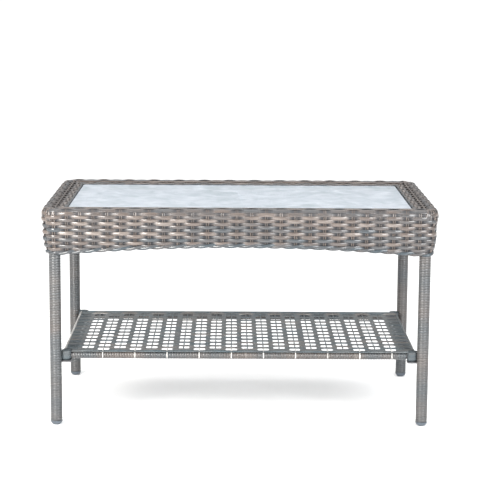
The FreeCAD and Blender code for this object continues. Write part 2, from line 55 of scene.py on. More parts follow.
def makeCamera():
    data = bpy.data.cameras.new("camera")
    data.lens = view["lens"]
    data.sensor_width = 36
    data.clip_end = 60
    camera = bpy.data.objects.new("camera", data)
    bpy.context.scene.collection.objects.link(camera)
    spin = Matrix.Rotation(view["turn"], 3, "Z")
    look = spin @ Vector((0, math.cos(view["down"]), -math.sin(view["down"])))
    up = spin @ Vector((0, math.sin(view["down"]), math.cos(view["down"])))
    right = spin @ Vector((1, 0, 0))
    rolledRight = right * math.cos(view["roll"]) + up * math.sin(view["roll"])
    rolledUp = up * math.cos(view["roll"]) - right * math.sin(view["roll"])
    turned = Matrix((rolledRight, rolledUp, -look)).transposed().to_4x4()
    camera.matrix_world = Matrix.Translation(view["place"]) @ turned
    bpy.context.scene.camera = camera


makeCamera()
print("camera")

# Strand cross-sections: across, then outward, in units of the half sizes.
dice = np.random.default_rng(11)
upWay = np.array([0, 0, 1.0])
halfRound = np.array([(-1, 0), (-0.93, 0.42), (-0.66, 0.8), (-0.24, 0.98), (0.24, 0.98),
                      (0.66, 0.8), (0.93, 0.42), (1, 0), (0.75, -0.3), (-0.75, -0.3)])
roundSix = np.array([(math.cos(a), math.sin(a)) for a in np.arange(6) * math.pi / 3])
roundTen = np.array([(math.cos(a), math.sin(a)) for a in np.arange(10) * math.pi / 5])
flatTape = np.array([(-1, 0), (-0.9, 0.7), (-0.5, 1), (0.5, 1), (0.9, 0.7), (1, 0),
                     (0.9, -0.7), (0.5, -1), (-0.5, -1), (-0.9, -0.7)])


def unit(vectors):
    return vectors / np.maximum(np.linalg.norm(vectors, axis=-1, keepdims=True), 1e-12)


def runsOf(mask):
    # start and stop of each unbroken stretch of True
    edges = np.flatnonzero(np.diff(np.concatenate(([0], mask.astype(int), [0]))))
    return [(a, b) for a, b in zip(edges[::2], edges[1::2]) if b - a > 2]


def wander(positions, step, size, seed):
    # smooth random drift along a strand
    own = np.random.default_rng(seed)
    lowest = positions.min() - step
    knots = np.arange(lowest, positions.max() + 3 * step, step)
    heights = own.uniform(-1, 1, len(knots))
    t = (positions - lowest) / step
    i = np.clip(t.astype(int), 0, len(knots) - 2)
    f = t - i
    f = f * f * (3 - 2 * f)
    return size * (heights[i] * (1 - f) + heights[i + 1] * f)


class Bundle:
    # strands gathered into one mesh
    def __init__(self):
        self.points, self.faces, self.lay, self.tone, self.shade = [], [], [], [], []
        self.count = 0

    def add(self, path, wide, thick, section, tone, shade=0.0):
        # path n x 3; wide and thick are the half vectors of the cross-section, n x 3 or one
        n, m = len(path), len(section)
        wide = np.broadcast_to(wide, path.shape)
        thick = np.broadcast_to(thick, path.shape)
        across = section[None, :, :1] * wide[:, None, :]
        outward = section[None, :, 1:] * thick[:, None, :]
        ring = path[:, None, :] + across + outward
        steps = np.linalg.norm(np.diff(path, axis=0), axis=1)
        run = np.concatenate(([0], np.cumsum(steps)))
        lay = np.zeros((n, m, 3))
        lay[..., 0] = run[:, None]
        lay[..., 1] = section[None, :, 0] * np.linalg.norm(wide, axis=1)[:, None]
        lay[..., 2] = dice.uniform(0, 50)
        self.points.append(ring.reshape(-1, 3))
        self.lay.append(lay.reshape(-1, 3))
        self.tone.append(np.repeat(np.broadcast_to(np.asarray(tone, float), (n,)), m))
        self.shade.append(np.repeat(np.broadcast_to(np.asarray(shade, float), (n,)), m))
        i = np.arange(n - 1)[:, None]
        j = np.arange(m)[None, :]
        k = (j + 1) % m
        quads = np.stack((i * m + j, i * m + k, (i + 1) * m + k, (i + 1) * m + j), -1)
        self.faces.append(quads.reshape(-1, 4) + self.count)
        self.count += n * m

    def build(self, name, material, body="table", replaces=()):
        points = np.concatenate(self.points)
        faces = np.concatenate(self.faces)
        mesh = bpy.data.meshes.new(name)
        mesh.vertices.add(len(points))
        mesh.vertices.foreach_set("co", points.astype(np.float32).ravel())
        mesh.loops.add(len(faces) * 4)
        mesh.loops.foreach_set("vertex_index", faces.astype(np.int32).ravel())
        mesh.polygons.add(len(faces))
        mesh.polygons.foreach_set("loop_start", np.arange(0, len(faces) * 4, 4, dtype=np.int32))
        mesh.polygons.foreach_set("use_smooth", np.ones(len(faces), bool))
        lay = mesh.attributes.new("lay", "FLOAT_VECTOR", "POINT")
        lay.data.foreach_set("vector", np.concatenate(self.lay).astype(np.float32).ravel())
        for key, values in (("tone", self.tone), ("shade", self.shade)):
            spot = mesh.attributes.new(key, "FLOAT", "POINT")
            spot.data.foreach_set("value", np.concatenate(values).astype(np.float32))
        mesh.update(calc_edges=True)
        mesh.materials.append(material)
        thing = bpy.data.objects.new(name, mesh)
        bpy.context.scene.collection.objects.link(thing)
        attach(thing, body)
        if replaces:
            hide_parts(*replaces)
        print(name, len(faces), "faces")
        return thing


def newMaterial(name):
    material = bpy.data.materials.new(name)
    material.use_nodes = True
    tree = material.node_tree
    return material, tree, tree.nodes["Principled BSDF"]


def setRamp(ramp, stops):
    elements = ramp.color_ramp.elements
    elements[0].position, elements[0].color = stops[0][0], (*stops[0][1], 1)
    elements[1].position, elements[1].color = stops[-1][0], (*stops[-1][1], 1)
    for position, colour in stops[1:-1]:
        elements.new(position).color = (*colour, 1)


def strandMaterial(name, cool, warm, light, roughness, contrast=0.8):
    # moulded resin strand: colour runs lengthwise, with fine grooves along it
    material, tree, shader = newMaterial(name)
    nodes, links = tree.nodes, tree.links
    lay = nodes.new("ShaderNodeAttribute")
    lay.attribute_name = "lay"
    tone = nodes.new("ShaderNodeAttribute")
    tone.attribute_name = "tone"
    shade = nodes.new("ShaderNodeAttribute")
    shade.attribute_name = "shade"
    noises = []
    for scale, detail in (((18, 900, 1), 3), ((22, 120, 1), 2)):
        stretch = nodes.new("ShaderNodeVectorMath")
        stretch.operation = "MULTIPLY"
        stretch.inputs[1].default_value = scale
        links.new(lay.outputs["Vector"], stretch.inputs[0])
        noise = nodes.new("ShaderNodeTexNoise")
        noise.inputs["Scale"].default_value = 1
        noise.inputs["Detail"].default_value = detail
        links.new(stretch.outputs[0], noise.inputs["Vector"])
        noises.append(noise)
    spread = nodes.new("ShaderNodeMath")
    spread.operation = "MULTIPLY_ADD"
    spread.inputs[1].default_value = contrast
    spread.inputs[2].default_value = -contrast / 2
    links.new(noises[1].outputs[0], spread.inputs[0])
    sumTone = nodes.new("ShaderNodeMath")
    sumTone.operation = "ADD"
    links.new(tone.outputs["Fac"], sumTone.inputs[0])
    links.new(spread.outputs[0], sumTone.inputs[1])
    ramp = nodes.new("ShaderNodeValToRGB")
    between = [0.6 * a + 0.4 * b for a, b in zip(cool, warm)]
    setRamp(ramp, [(0, cool), (0.35, between), (0.75, warm), (1, light)])
    links.new(sumTone.outputs[0], ramp.inputs[0])
    grooves = nodes.new("ShaderNodeValToRGB")
    setRamp(grooves, [(0.3, (0.45, 0.45, 0.47)), (0.7, (1.15, 1.13, 1.1))])
    links.new(noises[0].outputs[0], grooves.inputs[0])
    grooved = nodes.new("ShaderNodeMix")
    grooved.data_type = "RGBA"
    grooved.blend_type = "MULTIPLY"
    grooved.inputs["Factor"].default_value = 0.55
    links.new(ramp.outputs[0], grooved.inputs["A"])
    links.new(grooves.outputs[0], grooved.inputs["B"])
    # painted shade: the shade attribute mixes the colour toward near black and makes the strand duller
    paintedShade = nodes.new("ShaderNodeMix")
    paintedShade.data_type = "RGBA"
    paintedShade.inputs["B"].default_value = (0.012, 0.014, 0.018, 1)
    links.new(shade.outputs["Fac"], paintedShade.inputs["Factor"])
    links.new(grooved.outputs["Result"], paintedShade.inputs["A"])
    links.new(paintedShade.outputs["Result"], shader.inputs["Base Color"])
    rough = nodes.new("ShaderNodeMapRange")
    rough.inputs["To Min"].default_value = roughness
    rough.inputs["To Max"].default_value = 0.9
    links.new(shade.outputs["Fac"], rough.inputs["Value"])
    links.new(rough.outputs["Result"], shader.inputs["Roughness"])
    bump = nodes.new("ShaderNodeBump")
    bump.inputs["Strength"].default_value = 0.35
    bump.inputs["Distance"].default_value = 0.0003
    links.new(noises[0].outputs[0], bump.inputs["Height"])
    links.new(bump.outputs[0], shader.inputs["Normal"])
    return material


skirtStrand = strandMaterial("skirtStrand", (0.038, 0.050, 0.059), (0.092, 0.074, 0.065),
                             (0.165, 0.142, 0.128), 0.2)
shelfStrand = strandMaterial("shelfStrand", (0.060, 0.084, 0.096), (0.15, 0.132, 0.12),
                             (0.50, 0.49, 0.47), 0.34)
legStrand = strandMaterial("legStrand", (0.048, 0.060, 0.068), (0.092, 0.080, 0.073),
                           (0.22, 0.205, 0.19), 0.28, contrast=0.4)


def glassMaterial():
    material, tree, shader = newMaterial("rippledGlass")
    nodes, links = tree.nodes, tree.links
    shader.inputs["Roughness"].default_value = 0.3
    shader.inputs["IOR"].default_value = 1.5
    shader.inputs["Transmission Weight"].default_value = 0.35
    where = nodes.new("ShaderNodeTexCoord")
    mottle = nodes.new("ShaderNodeTexNoise")
    mottle.inputs["Scale"].default_value = 26
    mottle.inputs["Detail"].default_value = 4
    mottle.inputs["Distortion"].default_value = 0.8
    links.new(where.outputs["Object"], mottle.inputs["Vector"])
    tint = nodes.new("ShaderNodeValToRGB")
    setRamp(tint, [(0.3, (0.38, 0.45, 0.49)), (0.52, (0.53, 0.58, 0.64)), (0.75, (0.67, 0.72, 0.78))])
    links.new(mottle.outputs[0], tint.inputs[0])
    links.new(tint.outputs[0], shader.inputs["Base Color"])
    ripple = nodes.new("ShaderNodeTexNoise")
    ripple.inputs["Scale"].default_value = 90
    ripple.inputs["Detail"].default_value = 2
    ripple.inputs["Distortion"].default_value = 1.5
    links.new(where.outputs["Object"], ripple.inputs["Vector"])
    bump = nodes.new("ShaderNodeBump")
    bump.inputs["Strength"].default_value = 0.6
    bump.inputs["Distance"].default_value = 0.002
    links.new(ripple.outputs[0], bump.inputs["Height"])
    links.new(bump.outputs[0], shader.inputs["Normal"])
    return material


def plainMaterial(name, colour, roughness, metallic=0.0, grain=60.0):
    material, tree, shader = newMaterial(name)
    nodes, links = tree.nodes, tree.links
    shader.inputs["Roughness"].default_value = roughness
    shader.inputs["Metallic"].default_value = metallic
    where = nodes.new("ShaderNodeTexCoord")
    noise = nodes.new("ShaderNodeTexNoise")
    noise.inputs["Scale"].default_value = grain
    noise.inputs["Detail"].default_value = 4
    links.new(where.outputs["Object"], noise.inputs["Vector"])
    ramp = nodes.new("ShaderNodeValToRGB")
    setRamp(ramp, [(0.3, [0.8 * c for c in colour]), (0.7, colour)])
    links.new(noise.outputs[0], ramp.inputs[0])
    links.new(ramp.outputs[0], shader.inputs["Base Color"])
    bump = nodes.new("ShaderNodeBump")
    bump.inputs["Strength"].default_value = 0.3
    bump.inputs["Distance"].default_value = 0.0002
    links.new(noise.outputs[0], bump.inputs["Height"])
    links.new(bump.outputs[0], shader.inputs["Normal"])
    return material


framePaint = plainMaterial("framePaint", (0.06, 0.06, 0.065), 0.5, grain=400)
footPlastic = plainMaterial("footPlastic", (0.075, 0.092, 0.11), 0.42, grain=150)
padRubber = plainMaterial("padRubber", (0.6, 0.62, 0.64), 0.35)
zinc = plainMaterial("zincPlate", (0.55, 0.55, 0.53), 0.35, metallic=1.0, grain=200)
finishes = {"frame_paint": framePaint, "foot_plastic": footPlastic, "clear_pad": padRubber,
            "zinc": zinc, "glass": glassMaterial()}
for part in frame["record"]["subparts"]:
    node = frame["nodes"][part["node"]]
    if part["material_slot"] in finishes:
        node.data.materials.clear()
        node.data.materials.append(finishes[part["material_slot"]])
print("materials")

# The rounded outline that the weave follows, measured at one reference distance from the corner centres.
skirtLow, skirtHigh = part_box("woven_skirt_front")
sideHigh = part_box("woven_skirt_right")[1]
outline = {"rollOut": 0.034, "reference": 0.026, "stakes": 86, "frontStakes": 13,
           "middle": -0.007, "spacing": 0.0319, "closing": 0.0000085}
cornerX = sideHigh.x - outline["rollOut"]
cornerY = -skirtLow.y - outline["rollOut"]
arc = outline["reference"] * math.pi / 2
lengths = [cornerX, arc, 2 * cornerY, arc, 2 * cornerX, arc, 2 * cornerY, arc, cornerX]
marks = np.concatenate(([0], np.cumsum(lengths)))
around = marks[-1]
baseX = np.array([0, 1, 1, 1, 1, -1, -1, -1, -1, 0]) * cornerX
baseY = np.array([-1, -1, -1, 1, 1, 1, 1, -1, -1, -1]) * cornerY
turnAt = np.array([-90, -90, 0, 0, 90, 90, 180, 180, 270, 270]) * math.pi / 180
cornerAt = {"front_right": (marks[1] + marks[2]) / 2, "back_right": (marks[3] + marks[4]) / 2,
            "back_left": (marks[5] + marks[6]) / 2, "front_left": (marks[7] + marks[8]) / 2}
sides = {"front": 0.0, "right": (marks[2] + marks[3]) / 2,
         "back": around / 2, "left": (marks[6] + marks[7]) / 2}
halfSide = {"front": cornerX + arc / 2, "back": cornerX + arc / 2,
            "right": cornerY + arc / 2, "left": cornerY + arc / 2}
turnOf = {"front": 0.0, "right": math.pi / 2, "back": math.pi, "left": 1.5 * math.pi}

# Stakes: wider apart at the middle of the front, even round the rest.
steps = np.arange(-outline["frontStakes"], outline["frontStakes"] + 1)
frontStakes = outline["middle"] + outline["spacing"] * steps - outline["closing"] * steps ** 3
restCount = outline["stakes"] - 2 * outline["frontStakes"]
restStakes = np.linspace(frontStakes[-1], frontStakes[0] + around, restCount + 1)
stakeAt = np.concatenate((frontStakes, restStakes[1:]))
stakeNumber = np.arange(len(stakeAt)) - outline["frontStakes"]


def stakeCount(p):
    # which stake the distance p falls on, as a running number
    laps = np.floor((p - stakeAt[0]) / around)
    return np.interp(p - laps * around, stakeAt, stakeNumber) + laps * outline["stakes"]


def onOutline(p, out, z):
    # point, outward normal and run direction at distance p along the outline
    q = np.mod(p, around)
    turn = np.interp(q, marks, turnAt)
    normal = np.stack((np.cos(turn), np.sin(turn), np.zeros_like(turn)), -1)
    run = np.stack((-np.sin(turn), np.cos(turn), np.zeros_like(turn)), -1)
    base = np.stack((np.interp(q, marks, baseX), np.interp(q, marks, baseY), np.zeros_like(turn)), -1)
    point = base + normal * np.asarray(out)[..., None]
    point[..., 2] = z
    return point, normal, run


# Skirt and rolled rim.
skirt = {
    "rowPitch": 0.0072,
    "wide": 0.0087,
    "moreOver": -0.0002,     # change of width where it passes over a stake
    "moreUnder": 0.0030,     # squashed wide behind a stake, which keeps the weave closed
    "thick": 0.0040,
    "wave": 0.0026,          # how far it swings out and in
    "rollWave": 0.0013,
    "ridge": 1.32,           # higher: straighter ramps, flatter tops
    "stakeRadius": 0.0014,
    "stakeGap": 0.0041,      # between the two rods of one stake
    "stakeForward": 0.0006,
    "archLong": 0.018,
    "archShort": 0.008,
    "archEnd": 0.008,        # each arch stops this far short of the corner centres
    "rollWide": 0.0101,
    "rollHigh": 0.0107,
    "cornerCut": 0.001,      # the roll is rounder at the corners
    "cornerDip": 0.001,
    "tones": [0.5, 0.4, 0.5, 0.45, 0.65, 0.72, 0.65, 0.8, 0.5,
              0.35, 0.8, 0.55, 0.35, 0.7, 0.35, 0.5, 0.4, 0.6],
}
lowEdge = skirtLow.z
railZ = skirtHigh.z - 0.013
railOut = 0.021


def skirtPath():
    # section of the weave from the lower edge up and over the rail: out and z, then the run along it
    knots = [(0.0190, lowEdge - 0.001), (0.0232, lowEdge + 0.011), (0.0258, lowEdge + 0.022),
             (0.0276, lowEdge + 0.033), (0.0282, lowEdge + 0.044), (0.0278, lowEdge + 0.055),
             (0.0286, lowEdge + 0.066), (0.0304, lowEdge + 0.077), (0.0316, railZ - 0.0065)]
    for degrees in (0, 30, 60, 90, 120, 150, 170):
        a = math.radians(degrees)
        knots.append((railOut + skirt["rollWide"] * math.cos(a), railZ + skirt["rollHigh"] * math.sin(a)))
    knots = np.array(knots)
    fine = []
    for i in range(len(knots) - 1):
        p0 = knots[max(i - 1, 0)]
        p1, p2 = knots[i], knots[i + 1]
        p3 = knots[min(i + 2, len(knots) - 1)]
        for t in np.linspace(0, 1, 12, endpoint=False):
            fine.append(0.5 * (2 * p1 + (p2 - p0) * t + (2 * p0 - 5 * p1 + 4 * p2 - p3) * t * t
                               + (3 * p1 - p0 - 3 * p2 + p3) * t ** 3))
    fine.append(knots[-1])
    fine = np.array(fine)
    steps = np.linalg.norm(np.diff(fine, axis=0), axis=1)
    run = np.concatenate(([0], np.cumsum(steps)))
    return fine, run


sectionFine, sectionRun = skirtPath()
sectionLong = sectionRun[-1]


def sectionAt(s):
    out = np.interp(s, sectionRun, sectionFine[:, 0])
    z = np.interp(s, sectionRun, sectionFine[:, 1])
    e = 0.0006
    dOut = np.interp(s + e, sectionRun, sectionFine[:, 0]) - np.interp(s - e, sectionRun, sectionFine[:, 0])
    dZ = np.interp(s + e, sectionRun, sectionFine[:, 1]) - np.interp(s - e, sectionRun, sectionFine[:, 1])
    size = np.hypot(dOut, dZ)
    return out, z, dOut / size, dZ / size


def rounding(p, z):
    # how much the roll is eased at a corner: 1 on the diagonal, 0 on the straights
    turn = np.interp(np.mod(p, around), marks, turnAt)
    return np.sin(2 * turn) ** 2 * np.clip((z - (railZ - 0.014)) / 0.014, 0, 1)


def edgeHeight(p):
    # the skirt's lower edge, with its arches between the legs
    q = np.mod(p, around)
    turn = np.interp(q, marks, turnAt)
    x = np.interp(q, marks, baseX)
    y = np.interp(q, marks, baseY)
    rise = np.zeros_like(q)
    onLong = np.abs(np.sin(turn)) > 0.999
    onShort = np.abs(np.cos(turn)) > 0.999
    arches = ((cornerX - skirt["archEnd"], skirt["archLong"], x, onLong),
              (cornerY - skirt["archEnd"], skirt["archShort"], y, onShort))
    for half, lift, along, facing in arches:
        radius = (half ** 2 + lift ** 2) / (2 * lift)
        arch = lift - radius + np.sqrt(np.maximum(radius ** 2 - np.minimum(np.abs(along), half) ** 2, 0))
        rise = np.where(facing, np.maximum(arch, 0), rise)
    return lowEdge + rise


def overUnder(count):
    # 1 over an even stake, -1 under an odd one: straight ramps, narrow flat tops
    tri = np.abs(np.mod(count, 2) - 1) * 2 - 1
    steep = skirt["ridge"] * tri
    top = skirt["ridge"] / (1 + skirt["ridge"] ** 8) ** 0.125
    return steep / (1 + np.abs(steep) ** 8) ** 0.125 / top


def weaveSkirt(side):
    bundle = Bundle()
    centre, half = sides[side], halfSide[side]
    p = np.linspace(centre - half, centre + half, int(2 * half / 0.0027))
    count = stakeCount(p)
    rows = int((sectionLong - 0.004) / skirt["rowPitch"])
    for row in range(rows):
        s = sectionLong - 0.002 - skirt["rowPitch"] * row
        out, z, dOut, dZ = sectionAt(s)
        wave = overUnder(count + row)
        onRoll = np.clip((z - (railZ - 0.011)) / 0.013, 0, 1) if dZ > 0.2 else 1.0
        swing = wave * (skirt["wave"] * (1 - onRoll) + skirt["rollWave"] * onRoll)
        thickness = skirt["thick"] * (1 - 0.35 * onRoll)
        width = skirt["wide"] + np.where(wave > 0, skirt["moreOver"], skirt["moreUnder"]) * wave ** 2
        width = width * (1 + wander(p, 0.03, 0.04, 100 + row))
        drift = wander(p, 0.045, 0.0004, 200 + row)
        ease = rounding(p, z)
        o = out + dZ * swing + dOut * drift - skirt["cornerCut"] * ease
        h = z - dOut * swing + dZ * drift - skirt["cornerDip"] * ease
        point, normal, run = onOutline(p, o, h)
        wide = normal * dOut + upWay * dZ
        along = unit(np.gradient(point, axis=0))
        thick = -unit(np.cross(along, wide))
        facing = np.sum(thick * (normal * dZ - upWay * dOut), axis=1, keepdims=True)
        thick = thick * np.sign(facing)
        tone = skirt["tones"][row % len(skirt["tones"])] + wander(p, 0.12, 0.22, 300 + row)
        # painted shade: darker where the strand passes behind a stake, a little less on the roll
        shade = np.clip((0.15 - wave) / 0.8, 0, 1) * 0.92 * (1 - 0.25 * onRoll)
        keep = h > edgeHeight(p) + 0.0035
        for start, stop in runsOf(keep):
            cut = slice(start, stop)
            bundle.add(point[cut], wide[cut] * width[cut, None] / 2, thick[cut] * thickness / 2,
                       halfRound, tone[cut], shade[cut])
    for at in stakesAlong(side):
        addStake(bundle, at)
    return bundle


def stakesAlong(side):
    centre, half = sides[side], halfSide[side]
    places = np.concatenate((stakeAt - around, stakeAt[1:]))
    return places[(places > centre - half) & (places <= centre + half)]


def addStake(bundle, at):
    # the two rods of a stake, up the skirt and over the rail
    for rod in (-0.5, 0.5):
        place = at + rod * skirt["stakeGap"]
        low = edgeHeight(np.array([place]))[0] + 0.003 - lowEdge
        s = np.linspace(low, sectionLong - 0.001, 40)
        out, z, dOut, dZ = sectionAt(s)
        ease = rounding(np.full_like(s, place), z)
        forward = np.interp(z, [railZ - 0.010, railZ + 0.004], [skirt["stakeForward"], -0.0006])
        out = out + dZ * forward - skirt["cornerCut"] * ease
        z = z - dOut * forward - skirt["cornerDip"] * ease
        point, normal, run = onOutline(np.full_like(s, place), out, z)
        facing = normal * dZ[:, None]
        facing[:, 2] = -dOut
        radius = skirt["stakeRadius"]
        bundle.add(point, run * radius, facing * radius, roundSix, 0.7 + dice.uniform(-0.15, 0.15))


border = {"out": 0.0010, "swing": 0.0026, "rise": 0.0022, "across": 0.0036, "deep": 0.0026}


def addBorder(bundle, side):
    # two strands twisted together along the lower edge
    centre, half = sides[side], halfSide[side]
    p = np.linspace(centre - half, centre + half, int(2 * half / 0.0022))
    edge = edgeHeight(p)
    out = np.interp(edge + 0.0035, sectionFine[:30, 1], sectionFine[:30, 0]) + border["out"]
    for strand in (0, 1):
        angle = math.pi * stakeCount(p) + strand * math.pi
        o = out + border["swing"] * np.cos(angle)
        h = edge + 0.0035 + border["rise"] * np.sin(angle)
        point, normal, run = onOutline(p, o, h)
        along = unit(np.gradient(point, axis=0))
        thick = unit(normal - along * np.sum(normal * along, axis=1, keepdims=True))
        wide = np.cross(along, thick)
        # painted shade on the half of each twist that turns inward
        shade = np.clip(-np.cos(angle), 0, 1) * 0.6
        bundle.add(point, wide * border["across"], thick * border["deep"], roundTen,
                   0.05 + 0.25 * strand + wander(p, 0.08, 0.12, 40 + strand), shade)


for side in sides:
    bundle = weaveSkirt(side)
    addBorder(bundle, side)
    piece = bundle.build(f"skirt_{side}", skirtStrand, replaces=[f"woven_skirt_{side}"])
print("skirt")

# Flat band inside the roll, round the glass.
band = {
    "outer": 0.0045, "outerDrop": 0.0020,
    "inner": 0.0185, "innerDrop": 0.0016,
    "rows": 3, "rowPitch": 0.0050, "firstRow": 0.0095,
    "wideOver": 0.0062, "wideUnder": 0.0044, "thick": 0.0022, "wave": 0.0014,
    "rod": 0.0011, "edge": 0.0017,
}
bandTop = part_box("rim_band_front")[1].z
bandFall = 0.005


def bandLine(side, inset, z):
    # straight run along one side at a distance out from the corner centres, ends mitred
    away = cornerY if side in ("front", "back") else cornerX
    long = cornerX if side in ("front", "back") else cornerY
    half = long + inset
    t = np.linspace(-half, half, max(int(2 * half / 0.0025), 4))
    c, s = math.cos(turnOf[side]), math.sin(turnOf[side])
    y = -(away + inset)
    point = np.stack((c * t - s * y, s * t + c * y, np.full_like(t, z)), -1)
    return t, point, np.array([s, -c, 0.0]), np.array([c, s, 0.0])


def weaveBand(side):
    bundle = Bundle()
    start = np.array([band["outer"], bandTop - band["outerDrop"]])
    finish = np.array([-band["inner"], bandTop - bandFall - band["innerDrop"]])
    span = np.linalg.norm(finish - start)
    slope = (finish - start) / span
    t, point, outward, along = bandLine(side, start[0], start[1] + 0.0006)
    bundle.add(point, outward * band["edge"], upWay * band["edge"], roundTen, 0.75)
    wide = outward * slope[0] + upWay * slope[1]
    face = outward * -slope[1] + upWay * slope[0]
    face = face * np.sign(face[2])
    for row in range(band["rows"]):
        inset, z = start + slope * (band["firstRow"] + band["rowPitch"] * row)
        t, point, outward, along = bandLine(side, inset, z)
        wave = np.cos(math.pi * (stakeCount(sides[side] + t) + row))
        point = point + face * (wave * band["wave"])[:, None]
        evenWidth = (band["wideOver"] + band["wideUnder"]) / 2
        width = evenWidth + wave * (band["wideOver"] - band["wideUnder"]) / 2
        tone = [0.5, 0.75, 0.45][row % 3] + wander(t, 0.1, 0.25, 500 + row)
        # painted shade where the row passes under a stake rod
        bundle.add(point, wide * width[:, None] / 2, face * band["thick"] / 2, halfRound, tone,
                   np.clip(-wave, 0, 1) * 0.6)
    # edge at the glass: two strands twisted together
    for strand in (0, 1):
        inset, z = start + slope * (span - 0.0020)
        t, point, outward, along = bandLine(side, inset, z + 0.0004)
        angle = math.pi * stakeCount(sides[side] + t) + strand * math.pi
        sideways = outward * (0.0012 * np.cos(angle))[:, None]
        point = point + sideways + upWay * (0.0009 * np.sin(angle))[:, None]
        bundle.add(point, outward * 0.0017, upWay * 0.0014, roundTen, 0.1 + 0.3 * strand)
    # stake rods across the band
    long = cornerX if side in ("front", "back") else cornerY
    away = cornerY if side in ("front", "back") else cornerX
    for at in stakesAlong(side):
        for rod in (-0.5, 0.5):
            x = at - sides[side] + rod * skirt["stakeGap"]
            if abs(x) > long - 0.001:
                continue
            most = min(span - 0.002, (long - abs(x)) + start[0] + 0.004)
            d = np.linspace(-0.0065, most, 14)
            point = along * x + outward * (away + start[0] + slope[0] * d)[:, None]
            point[:, 2] = start[1] + slope[1] * d - 0.0012 * np.clip(-d / 0.006, 0, 1)
            bundle.add(point, along * band["rod"], upWay * band["rod"], roundSix, 0.55)
    return bundle


# Light strands that wrap each corner, from the band over the roll to the face.
fan = {"strands": (-0.019, -0.0095, 0.0, 0.0095, 0.019), "down": 0.026, "wide": 0.0046, "thick": 0.0018,
       "lift": 0.0013, "tone": 0.75, "lead": ((-0.024, -0.0062), (-0.012, -0.0030), (0.0, -0.0010))}


def addFan(bundle, corner):
    middle = cornerAt[corner]
    for number, offset in enumerate(fan["strands"]):
        finish = sectionLong - 0.036 - fan["down"] * (1 - abs(offset) / 0.03)
        s = np.linspace(sectionLong - 0.002, finish, 34)
        out, z, dOut, dZ = sectionAt(s)
        f = np.linspace(0, 1, len(s))
        place = middle + offset * (0.35 + 0.75 * f)
        ease = rounding(place, z)
        lift = fan["lift"] * (1 - np.clip((f - 0.86) / 0.14, 0, 1) * 2.6)
        out = out + dZ * lift - skirt["cornerCut"] * ease
        z = z - dOut * lift - skirt["cornerDip"] * ease
        point, normal, run = onOutline(place, out, z)
        # lead-in from the band's mitre
        angle = math.atan2(*np.sign(point[0][[1, 0]]))
        inward = np.array([math.cos(angle), math.sin(angle), 0.0])
        inner = np.array([math.copysign(cornerX, point[0][0]), math.copysign(cornerY, point[0][1]), 0.0])
        lead = np.stack([inner + inward * d + np.array([0, 0, bandTop + h]) for d, h in fan["lead"]])
        whole = np.concatenate((lead, point))
        along = unit(np.gradient(whole, axis=0))
        onFace = unit(normal * dZ[:, None] - upWay * dOut[:, None])
        face = np.concatenate((np.broadcast_to(upWay, lead.shape), onFace))
        wide = unit(np.cross(along, face))
        thick = np.cross(wide, along)
        bundle.add(whole, wide * fan["wide"] / 2, thick * fan["thick"] / 2, halfRound,
                   fan["tone"] - 0.18 * (number % 2))


cornerOf = {"front": "front_left", "right": "front_right", "back": "back_right", "left": "back_left"}
for side in sides:
    bundle = weaveBand(side)
    addFan(bundle, cornerOf[side])
    piece = bundle.build(f"rim_weave_{side}", skirtStrand, replaces=[f"rim_band_{side}"])
print("rim bands")


# Windings round the legs, the shelf rails and the corner blocks.
def addHelix(bundle, start, finish, radius, turnPitch, wide, thick, tone, perTurn=26, seed=1, patches=0.3):
    start, finish = np.array(start, float), np.array(finish, float)
    axis = finish - start
    long = np.linalg.norm(axis)
    axis = axis / long
    side1 = unit(np.cross(axis, [0.3, 0.5, 0.81]))
    side2 = np.cross(axis, side1)
    turns = long / turnPitch
    n = int(turns * perTurn)
    angle = np.linspace(0, turns * 2 * math.pi, n)
    travel = np.linspace(0, long, n)
    outward = np.cos(angle)[:, None] * side1 + np.sin(angle)[:, None] * side2
    path = start + axis * travel[:, None] + outward * (radius - thick / 2)
    along = unit(np.gradient(path, axis=0))
    wideWay = unit(np.cross(along, outward))
    colour = tone + wander(travel, 0.035, patches, seed)
    bundle.add(path, wideWay * wide / 2, outward * thick / 2, halfRound, colour)


corners = ("front_left", "front_right", "back_right", "back_left")
wound = {"legPitch": 0.00575, "legWide": 0.0058, "railPitch": 0.00575, "railWide": 0.0056, "thick": 0.0022}
for number, corner in enumerate(corners):
    low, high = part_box(f"leg_winding_{corner}")
    x, y = (low.x + high.x) / 2, (low.y + high.y) / 2
    bundle = Bundle()
    addHelix(bundle, (x, y, low.z + 0.002), (x, y, high.z), (high.x - low.x) / 2, wound["legPitch"],
             wound["legWide"], wound["thick"], 0.4, seed=20 + number, patches=0.2)
    piece = bundle.build(f"leg_wrap_{corner}", legStrand, replaces=[f"leg_winding_{corner}"])
for number, side in enumerate(sides):
    low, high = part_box(f"shelf_winding_{side}")
    middle = (low + high) / 2
    bundle = Bundle()
    if side in ("front", "back"):
        ends = (low.x, middle.y, middle.z), (high.x, middle.y, middle.z)
    else:
        ends = (middle.x, low.y, middle.z), (middle.x, high.y, middle.z)
    addHelix(bundle, *ends, (high.z - low.z) / 2, wound["railPitch"], wound["railWide"], wound["thick"], 0.5,
             perTurn=18, seed=30 + number, patches=0.35)
    piece = bundle.build(f"rail_wrap_{side}", legStrand, replaces=[f"shelf_winding_{side}"])

# Corner blocks: strand laid round a rounded square, turn over turn, with a core that closes top and bottom.
block = {"turns": 4, "wide": 0.0058, "thick": 0.0024, "round": 3.0, "edge": 0.0028,
         "capIn": 0.0012, "capTurns": 2.2, "capHalf": 0.0030, "capThick": 0.0011}


def squareLoop(angle, half):
    # rounded square of half size, as a superellipse
    c, s = np.cos(angle), np.sin(angle)
    size = (np.abs(c) ** block["round"] + np.abs(s) ** block["round"]) ** (-1 / block["round"])
    return np.stack((c * size * half[0], s * size * half[1]), -1)


